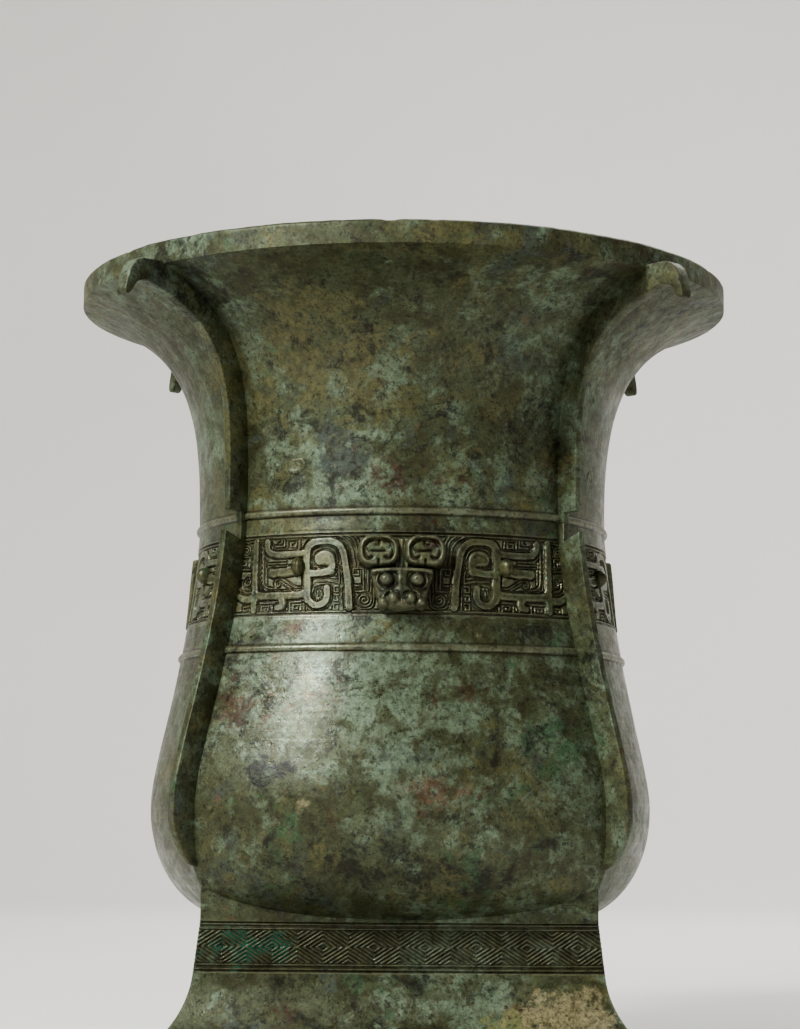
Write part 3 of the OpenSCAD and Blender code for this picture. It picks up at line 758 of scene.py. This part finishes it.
def plaster(name, colour):
    """Matt pale paper of the floor and the backdrop."""
    p = Paint(name)
    tone = p.noise(900, 2, 0.5)
    shade = tuple(0.94 * c for c in colour)
    p.link(p.blend(p.between(tone, 0.3, 0.7), colour, shade), p.shader.inputs["Base Color"])
    p.shader.inputs["Roughness"].default_value = 0.9
    return p.material


PATINA = patina("bronze_patina")
RELIEF = patina("bronze_relief", wear=1.4, green=0.6)
CHAPLET = patina("bronze_chaplet", wear=0.6, green=1.3)


# The vessel's three castings, and their points across one face

plain_columns = 120
frieze_columns = 640
foot_columns = 140


def rings_of(line, add=0.0):
    """Rings of the round-cornered wall along a line of (middle, z)."""
    r, z = line[:, 0], line[:, 1]
    return np.stack([r + add, r * square_at(z) + add, z], 1)


def square_rings(line, bulge=foot_bow):
    """Rings of the square foot along a line of (half width, z)."""
    r, z = line[:, 0], line[:, 1]
    return np.stack([r + bulge, r * math.sqrt(2), z], 1)


def levels(line, low, high, step):
    """Points of a line of (radius, z) between two heights, one about every step."""
    z = np.linspace(low, high, max(2, round((high - low) / step) + 1))
    return np.stack([np.interp(z, line[:, 1], line[:, 0]), z], 1)


def mouth_neck():
    low = spaced(neck_line[neck_line[:, 1] < z_seam + 6], 0.22)
    high = spaced(neck_line[neck_line[:, 1] >= z_seam + 6], 0.9)
    outside = rings_of(np.vstack([low, high]))
    swell = bow(outside[:, 2], z_bow_high)
    outside[:, 0] += swell
    outside[:, 1] += swell
    edge = 1.5
    lip_turn = np.linspace(0, math.pi / 2, 7)
    rim = [(mouth_r, z) for z in np.arange(z_lip + 0.8, z_top - edge, 0.8)]
    rim += [(mouth_r - edge + edge * math.cos(a), z_top - edge + edge * math.sin(a)) for a in lip_turn]
    rim += [(mouth_r - wall + 0.6, z_top), (mouth_r - wall, z_top - 0.6)]
    inner = neck_line[::-1] + np.array([-wall, lip_h - 4.0])
    inner = np.vstack([spaced(inner, 1.6), [(waist_r - wall, z_seam)]])
    rings = np.vstack([outside, rings_of(np.array(rim)), rings_of(inner)])
    rings[:, 1] = np.where(rings[:, 2] > z_lip, rings[:, 0], rings[:, 1])
    place, height = wall_grid(rings, plain_columns)
    # The bowstring goes into the height map, so soil and painted shade gather beside it
    height[:len(swell)] += swell[:, None]
    at_edge = ease((place[..., 2] - z_top + 3.0) / 3.0)
    worn_low = 0.3 * (1 + noise(place, 16.0)) + 0.15 * (1 + noise(place, 4.0))
    chips = 0.4 * ease((noise(place + 70, 5.0) - 0.4) / 0.35)
    place[..., 2] -= at_edge * (worn_low + chips)
    return new_piece("mouth_neck_cast", *joined([(place, height, True)]))


def belly():
    fine_low = frieze_low - 1.6
    fine_high = frieze_low + frieze_h + 1.6
    line = np.vstack([bowl_line, belly_line[1:]])

    def part(low, high, step):
        return rings_of(levels(line, low, high, step))

    def bowstring(along, z):
        return bow(z, z_bow_low)

    bowl = rings_of(spaced(line[line[:, 1] < z_wide], 0.8))
    inside_top = belly_line[::-1] - np.array([wall, 0])
    z_floor = z_foot + floor_t
    inside_bowl = bezier((belly_r - wall, z_wide), (belly_r - wall, mix(z_floor, z_wide, 0.45)),
                         (mix(foot_r, belly_r, 0.4), z_floor), (0.45 * foot_r, z_floor), 30)
    inside = np.vstack([spaced(inside_top, 1.5), inside_bowl[1:], [(0.3, z_floor)]])
    inside_rings = rings_of(inside)
    low = inside[:, 1] < z_wide
    floor_rise = 0.146 * (z_seam - z_foot)
    floor_square = mix(1.02, belly_square, ease((inside[:, 1] - z_floor) / floor_rise))
    inside_rings[:, 1] = np.where(low, inside[:, 0] * floor_square, inside_rings[:, 1])
    # the foot's square corners run up into the wall, and stop lower in mid-face, so none shows inside
    block_columns = 60
    block_rings = square_rings(np.array([(foot_r, z_foot), (foot_r, z_fade)]))
    block, block_height = wall_grid(block_rings, block_columns)
    off_middle = np.abs(np.linspace(-1, 1, block_columns, endpoint=False))
    rise = np.tile(mix(0.5, 1.0, ease((off_middle - 0.4) / 0.4)), 4)
    block[..., 2] = z_foot + (block[..., 2] - z_foot) * rise
    grids = [
        (*wall_grid(np.vstack([bowl, part(z_wide, z_bow_low - 2, 0.8)]), plain_columns), False),
        (*wall_grid(part(z_bow_low - 2, z_bow_low + 2, 0.2), plain_columns, bowstring), False),
        (*wall_grid(part(z_bow_low + 2, fine_low, 0.7), plain_columns), False),
        (*wall_grid(part(fine_low, fine_high, 0.19), frieze_columns, frieze_relief), False),
        (*wall_grid(np.vstack([part(fine_high, z_seam, 0.7), inside_rings]), plain_columns), False),
        (block, block_height, False),
    ]
    return new_piece("belly_cast", *joined(grids))


def foot():
    def part(low, high, step):
        return square_rings(levels(foot_line, low, high, step))

    inner = spaced(foot_line[::-1] - np.array([wall, 0]), 1.5)
    z_under = z_foot - floor_t
    under = square_rings(np.array([(0.3, z_under), (foot_r - wall - 1, z_under)]))
    edge = square_rings(np.array([(base_r - 1.0, 0.0), (base_r - 0.3, 0.3)]))
    top = np.vstack([part(band_high, z_foot, 0.3), square_rings(np.array([(foot_r - wall, z_foot)]))])
    grids = [
        (*wall_grid(np.vstack([square_rings(inner), edge, part(1.0, band_low, 0.7)]), foot_columns), False),
        (*wall_grid(part(band_low, band_high, 0.24), 4 * foot_columns, band_relief), False),
        (*wall_grid(top, foot_columns), False),
        (*wall_grid(under, 40), False),
    ]
    return new_piece("foot_cast", *joined(grids))


dressed(mouth_neck(), PATINA, "patina", "mouth_neck")
dressed(belly(), PATINA, "patina", "belly")
dressed(foot(), PATINA, "patina", "foot")


# Corner flanges

CORNERS = ("front_left", "front_right", "back_right", "back_left")
ridge = waist_r * waist_square + ridge_reach


def flange(name, outline, thickness, corner):
    """A plate of the given outline (radius, z) standing on a corner, with worn edges."""
    azimuth = math.radians(225 + 90 * corner)
    out = np.array([math.cos(azimuth), math.sin(azimuth), 0])
    side = np.array([-math.sin(azimuth), math.cos(azimuth), 0])
    up = np.array([0, 0, 1])
    mesh = bpy.data.meshes.new(name)
    work = bmesh.new()
    faces = []
    for way in (-1, 1):
        ring = []
        for r, z in outline:
            point = out * r + up * z + side * way * thickness(z) / 2
            shift = 0.12 * noise(point + 11, 7.0) + 0.05 * noise(point, 2.0)
            ring.append(work.verts.new((point - out * abs(shift)) * MM))
        faces.append(ring)
    count = len(outline)
    front = work.faces.new(faces[0])
    back = work.faces.new(faces[1][::-1])
    for i in range(count):
        j = (i + 1) % count
        work.faces.new((faces[0][j], faces[0][i], faces[1][i], faces[1][j]))
    work.normal_update()
    bmesh.ops.recalc_face_normals(work, faces=work.faces)
    rims = list(front.edges) + list(back.edges)
    bmesh.ops.bevel(work, geom=rims, offset=0.45 * MM, segments=3, profile=0.5, affect="EDGES",
                    clamp_overlap=True)
    work.to_mesh(mesh)
    work.free()
    mesh.shade_smooth()
    mesh.set_sharp_from_angle(angle=math.radians(40))
    return placed(name, mesh)


def neck_flange_outline():
    wall_side = np.stack([corner_r(neck_line[:, 1]), neck_line[:, 1]], 1)
    run = np.gradient(wall_side, axis=0)
    run /= np.linalg.norm(run, axis=1)[:, None]
    edge = wall_side + neck_reach * np.stack([run[:, 1], -run[:, 0]], 1)
    edge = edge[(edge[:, 0] < mouth_r - 5) & (edge[:, 1] > z_seam + ridge_len)]
    tab_top = z_top - 0.9 * lip_h
    tab_low = tab_top - 0.75 * tab_h
    tip_z = tab_top - tab_h - hook_drop
    tab_end = mouth_r + tab_reach
    tab = [(mouth_r + 2, tab_top), (tab_end, tab_top), (tab_end + hook_out, tip_z),
           (tab_end + 0.2 * hook_out, tip_z), (mouth_r + 0.85 * tab_reach, tab_low),
           (mouth_r + 0.4 * tab_reach, tab_low)]
    inner = spaced(wall_side, 2.0) - np.array([tongue, 0])
    return np.vstack([inner[:-1], [(mouth_r - tongue, tab_top)], spaced(rounded(tab, 2), 1.0),
                      spaced(edge[::-1], 2.0), [(ridge, z_seam + ridge_len), (ridge, z_seam)]])


def neck_thickness(z):
    return mix(flange_t, tab_t, np.clip((z - mix(z_seam, z_lip, 0.6)) / (0.4 * (z_lip - z_seam)), 0, 1))


def belly_flange_outline():
    low = z_fade + 1
    high = z_seam - ridge_len
    z = np.concatenate([low + 16 * np.linspace(0, 1, 14) ** 2, np.arange(low + 18, high, 2.0), [high]])
    outer = np.stack([corner_r(z) + belly_reach * np.sqrt(np.clip((z - low) / 16, 0, 1)), z], 1)
    inner_z = np.arange(z_seam, low, -2.0)
    inner = np.stack([corner_r(inner_z) - tongue, inner_z], 1)
    slant = high - 0.3 * belly_reach
    return np.vstack([outer, [(ridge, slant), (ridge, z_seam)], inner, [(corner_r(low) - tongue, low)]])


for corner, place in enumerate(CORNERS):
    neck_plate = flange(f"neck_flange_{place}_cast", neck_flange_outline(), neck_thickness, corner)
    dressed(neck_plate, PATINA, "patina", f"neck_flange_{place}")
    belly_plate = flange(f"belly_flange_{place}_cast", belly_flange_outline(), lambda z: flange_t, corner)
    dressed(belly_plate, PATINA, "patina", f"belly_flange_{place}")


# Masks and dragon eyes

FACES = ("front", "right", "back", "left")


def lean_at(z):
    span = 13.0
    return math.atan((face_r(z - span) - face_r(z + span)) / (2 * span))


def on_face(points, face, x, z):
    """Places given along, up and out of a face at (x, z), in mm, as places in the frame."""
    lean = lean_at(z)
    radius, _ = arc_of(face_r(z), corner_r(z))
    along, up, out = np.moveaxis(points, -1, 0)
    depth = out * math.cos(lean) - up * math.sin(lean)
    height = z + up * math.cos(lean) + out * math.sin(lean)
    turn = math.asin(x / radius)
    far = radius + depth
    plan_x = along * math.cos(turn) + far * math.sin(turn)
    plan_y = far * math.cos(turn) - along * math.sin(turn) - radius + face_r(z)
    return np.stack([*turned(plan_x, plan_y, face), height], -1)


def box_distance(x, y, half_w, half_h, corner):
    """Distance to a rectangle with round corners, negative inside."""
    dx = np.abs(x) - half_w + corner
    dy = np.abs(y) - half_h + corner
    return np.hypot(np.maximum(dx, 0), np.maximum(dy, 0)) + np.minimum(np.maximum(dx, dy), 0) - corner


def dome(x, y, middle, reach, high, base=0.0):
    """A round boss."""
    away = np.hypot((x - middle[0]) / reach[0], (y - middle[1]) / reach[1])
    return np.where(away < 1, base + (high - base) * np.sqrt(np.clip(1 - away ** 2, 0, 1)), -9.0)


HORN_GROOVE = [(-2.2, -2.4), (-3.2, -3.2), (-4.5, -2.6), (-5.0, 0.2), (-4.4, 2.6), (-2.6, 3.7), (0, 3.9),
               (2.6, 3.7), (4.4, 2.6), (5.0, 0.2), (4.5, -2.6), (3.2, -3.2), (2.2, -2.4)]


def trench(near, half):
    """1 in the middle of a cut, 0 at half its width and beyond."""
    return 1 - ease(near / half)


def horn_height(x, y):
    """A loop whose ends meet below, round a plate that a groove with two hooked ends cuts out."""
    inside = -box_distance(x, y, horn_w / 2, horn_h / 2, 4.8)
    pad = horn_out * np.sqrt(1 - (1 - np.clip(inside / 1.5, 0, 1)) ** 2)
    plate = ease(-box_distance(x, y - 1.4, 4.7, 2.6, 2.2) / 0.7) * ease((y + 1.4) / 1.2)
    groove = trench(near_line(x, y, rounded(HORN_GROOVE, 2)), 0.75)
    slot = trench(near_line(x, y, [(-2.1, -0.3), (2.1, -0.3)]), 0.7)
    nick = trench(near_line(x, y, [(-0.2, 3.6), (-0.2, 2.0), (1.2, 2.0)]), 0.5)
    slit = trench(near_line(x, y, [(0, -3.4), (0, -6.4)]), 0.5)
    height = pad - 1.3 * plate - 1.5 * np.maximum(groove, slit) - 1.1 * np.maximum(slot, nick)
    return np.where(inside > 0, height, -9)


def mask_height(x, y):
    """Height of the horned mask over the wall at places along x and up y from its middle, in mm."""
    ax = np.abs(x)
    top = 0.04 * face_w
    chin = -0.66 * face_w
    horn = horn_height(ax - 0.56 * horn_w, y - 1.4 * top - horn_h / 2)
    between = np.where((ax < 2.4) & (y > 0) & (y < 11.6), 0.9 - 0.7 * trench(np.abs(ax - 0.9), 0.4), -9)

    half = np.interp(y, [chin, -13, -11.6, -9, -6.2, -1.7, top], [2.6, 6.3, 7.8, 8.7, 9.3, 10.6, 10.7])
    crown = np.interp(y, [chin, -13.2, -11.6, -9.8, -8.0, -6.2, -1, top],
                      [3.0, 5.6, 6.7, 6.9, 5.6, 3.4, 3.2, 3.2])
    across = np.clip(ax / half, 0, 1)
    face = np.where((ax < half) & (y < top) & (y > chin), crown * np.sqrt(1 - 0.7 * across ** 4), -9)
    brow_side = (y - top + 1.15 + 0.006 * ax ** 2) / 1.15
    brow = brow_out * np.sqrt(np.clip(1 - np.abs(brow_side) ** 3, 0, 1)) * np.sqrt(1 - 0.45 * across ** 6)
    brow = np.where((np.abs(brow_side) < 1) & (ax < half), brow, -9)
    bridge = np.interp(y, [-10.2, -8.0, -5.6, -1.5], [4.6, 3.6, 1.8, 2.4])
    nose = mix(brow_out, 7.4, ease((-2 - y) / 6)) - 1.6 * np.clip(ax / bridge, 0, 1) ** 3
    nose = np.where((ax < bridge) & (y < -0.4) & (y > -10.2), nose, -9)
    eye_at = (0.246 * face_w, -0.178 * face_w)
    eye_away = np.hypot((ax - eye_at[0]) / 1.06, y - eye_at[1])
    eye = dome(ax, y, eye_at, (2.6, 2.5), 6.6, 3.0)
    lid = np.where(np.abs(eye_away - 3.1) < 0.4, 4.2, -9)
    pupil = trench(eye_away, 0.7)
    nostril_at = (0.138 * face_w, -0.495 * face_w)
    nostril = dome(ax, y, nostril_at, (2.0, 2.2), snout_out - 0.2, 5.0)
    cheek = dome(ax, y, (0.295 * face_w, -0.555 * face_w), (1.9, 2.0), 7.6, 3.8)
    nostril_away = np.hypot(ax - nostril_at[0], y - nostril_at[1])
    rim = trench(np.abs(nostril_away - 2.5), 0.6) * ease((y + 12.4) / 1.5)
    fold = trench(near_line(ax, y, [(4.5, -8.4), (4.8, -10.4), (4.5, -13.0)]), 0.6)
    mouth = trench(near_line(ax, y, [(0, -13.2), (2.6, -13.4)]), 0.45)
    skin = np.maximum(face, nose) - 0.9 * rim - 1.0 * fold - 0.4 * mouth
    height = np.maximum.reduce([skin, brow, lid, eye - 0.4 * pupil, nostril, cheek])
    return np.maximum.reduce([horn, between, height])


def mask(face):
    step = 0.14
    x = np.arange(-16, 16 + step, step)
    y = np.arange(-15.2, 14 + step, step)
    gx, gy = np.meshgrid(x, y)
    height = np.maximum(mask_height(gx, gy), -2.2)
    height = blurred(height, 1)
    # How deep each place lies below its surroundings; the material paints soil and painted shade into it
    # around the eyes, nose and horns
    hollow = np.clip((blurred(height, 5) - height) * 0.35, -0.5, 0.5)
    points = on_face(np.stack([gx, gy, height], -1), face, 0.0, z_frieze).reshape(-1, 3)
    quads = quads_of(len(y), len(x), False)
    kept = (height.ravel()[quads] > -1.9).any(1)
    return new_piece(f"mask_{FACES[face]}_cast", points, quads[kept], hollow, crease=0)


def dragon_eyes(face):
    """Two oval bosses, each with a crease down its middle."""
    rings, columns = 30, 56
    t = np.linspace(0, 1.2, rings)[:, None] * math.pi / 2
    angle = np.linspace(0, 2 * math.pi, columns, endpoint=False)[None, :]
    reach = dragon_eye_d / 2
    x = 0.87 * reach * np.sin(t) * np.cos(angle)
    y = 1.13 * reach * np.sin(t) * np.sin(angle)
    out = dragon_eye_out * np.cos(t) - 0.3 * trench(np.abs(x - 0.5), 0.5) * np.cos(t).clip(0)
    local = np.stack([x, y, out], -1)
    grids = []
    for side in (-1, 1):
        place = on_face(local, face, side * dragon_eye_x, z_frieze + dragon_eye_up)
        grids.append((place[::-1], 0 * x, False))
    points, quads, hollow = joined(grids)
    return new_piece(f"dragon_eyes_{FACES[face]}_cast", points, quads, hollow, crease=0)


def frieze_rib(face):
    """The low upright rib that takes the mask's place on a side face, with softened edges."""
    step = 0.25
    x = np.arange(-rib_w / 2 - 0.5, rib_w / 2 + 0.5 + step, step)
    y = np.arange(-rib_h / 2 - 0.5, rib_h / 2 + 0.5 + step, step)
    gx, gy = np.meshgrid(x, y)
    inside = -box_distance(gx, gy, rib_w / 2, rib_h / 2, 0.6)
    high = mix(0.45, 1.0, ease(gy / rib_h + 0.5)) * rib_out
    crown = high * np.sqrt(1 - (1 - np.clip(inside / 1.1, 0, 1)) ** 2) - 0.3 * trench(np.abs(gx), 0.5)
    height = np.where(inside > 0, crown, -1.2)
    hollow = np.clip((blurred(height, 3) - height) * 0.4, -0.4, 0.4)
    z_rib = z_frieze - 0.06 * rib_h
    points = on_face(np.stack([gx, gy, height], -1), face, 0.0, z_rib).reshape(-1, 3)
    quads = quads_of(len(y), len(x), False)
    return new_piece(f"frieze_rib_{FACES[face]}_cast", points, quads, hollow, crease=0)


for face, side in enumerate(FACES):
    if face % 2 == 0:
        dressed(mask(face), RELIEF, "relief", f"mask_{side}")
    else:
        dressed(frieze_rib(face), RELIEF, "relief", f"frieze_rib_{side}")
    dressed(dragon_eyes(face), RELIEF, "relief", f"dragon_eyes_{side}")


def chaplets():
    """Spacer plates in the neck's wall: worn patches with a raised edge and a sunk, uneven middle."""
    step = 0.2
    x = np.arange(-4.2, 4.2 + step, step)
    gx, gy = np.meshgrid(x, x)
    grids = []
    for face in range(4):
        wander = noise(np.stack([gx, gy, 0 * gx + 40 * face], -1), 2.6)
        inside = -box_distance(gx, gy, chaplet_w / 2 - 0.4, chaplet_w / 2 - 0.7, 2.4) + 0.8 * wander
        height = 0.1 * ease(inside / 0.9) - 0.25 * ease((inside - 0.7) / 1.2) + 0.12 * wander
        height = np.where(inside > 0, height, -0.5)
        place = on_face(np.stack([gx, gy, height], -1), face, -chaplet_x, z_seam + chaplet_up)
        grids.append((place, height))
    points = np.concatenate([place.reshape(-1, 3) for place, _ in grids])
    quads = quads_of(len(x), len(x), False)
    all_quads = np.vstack([quads + i * len(x) ** 2 for i in range(4)])
    hollow = np.concatenate([(blurred(height, 3) - height).ravel() for _, height in grids])
    return new_piece("neck_chaplets_cast", points, all_quads, hollow, crease=0)


dressed(chaplets(), CHAPLET, "chaplet", "neck_chaplets")


# Stage, light and camera

def sweep():
    """A round pale floor that curves up into a backdrop on all sides."""
    flat, bend_r, rise, columns = 1.7, 0.9, 3.2, 120
    turn = np.linspace(0, math.pi / 2, 24)
    bend = np.stack([flat + bend_r * np.sin(turn), bend_r - bend_r * np.cos(turn)], 1)
    line = np.vstack([[(0.001, 0.0), (0.5, 0.0)], bend, [(flat + bend_r, rise)]]) / MM
    angle = np.linspace(0, 2 * math.pi, columns, endpoint=False)[None, :]
    out, up = line[:, :1], line[:, 1:]
    points = np.stack([out * np.cos(angle), out * np.sin(angle), up + 0 * angle], -1)
    piece = new_piece("floor", points.reshape(-1, 3), quads_of(len(line), columns, True), crease=0)
    piece.data.materials.append(plaster("pale_floor", (0.78, 0.77, 0.74)))


def lamp(name, place, target, size, power, colour):
    light = bpy.data.lights.new(name, "AREA")
    light.shape = "DISK"
    light.size = size
    light.energy = power
    light.color = colour
    made = placed(name, light)
    made.location = place
    made.rotation_mode = "QUATERNION"
    made.rotation_quaternion = (Vector(target) - Vector(place)).to_track_quat("-Z", "Y")


def studio():
    middle = (0, 0, 0.16)
    backdrop = (0.2, 1.2, 0.2)
    warm = (1.0, 0.98, 0.94)
    cool = (0.93, 0.97, 1.0)
    lamp("key", (-0.86, -0.86, 1.20), middle, size=0.34, power=26, colour=warm)
    lamp("sheen", (-0.70, -1.01, 0.72), middle, size=0.22, power=5.2, colour=cool)
    lamp("fill", (1.3, -1.0, 0.6), middle, size=1.4, power=0.4, colour=(0.94, 0.97, 1.0))
    lamp("back", (0.6, 0.9, 1.6), backdrop, size=1.4, power=36, colour=(1.0, 1.0, 1.0))
    world = bpy.data.worlds.new("studio")
    world.use_nodes = True
    sky = world.node_tree.nodes["Background"].inputs
    sky["Color"].default_value = (0.93, 0.95, 1.0, 1)
    sky["Strength"].default_value = 0.04
    bpy.context.scene.world = world
    bpy.context.scene.view_settings.look = "AgX - Medium High Contrast"


def camera():
    """Low in front, looking a little up, at the photograph's framing."""
    photo_h = 1029
    focal_px = 2429.5
    sensor = 36.0
    data = bpy.data.cameras.new("photo_view")
    data.sensor_width = sensor
    data.lens = focal_px / photo_h * sensor
    made = placed("photo_view", data)
    pitch = math.radians(7.24)
    roll = math.radians(0.4)
    turn = Matrix.Rotation(math.pi / 2 + pitch, 4, "X") @ Matrix.Rotation(roll, 4, "Z")
    eye = Vector((-0.85, -900, 85.1)) * MM
    made.matrix_world = Matrix.Translation(eye) @ turn
    bpy.context.scene.camera = made


sweep()
studio()
camera()
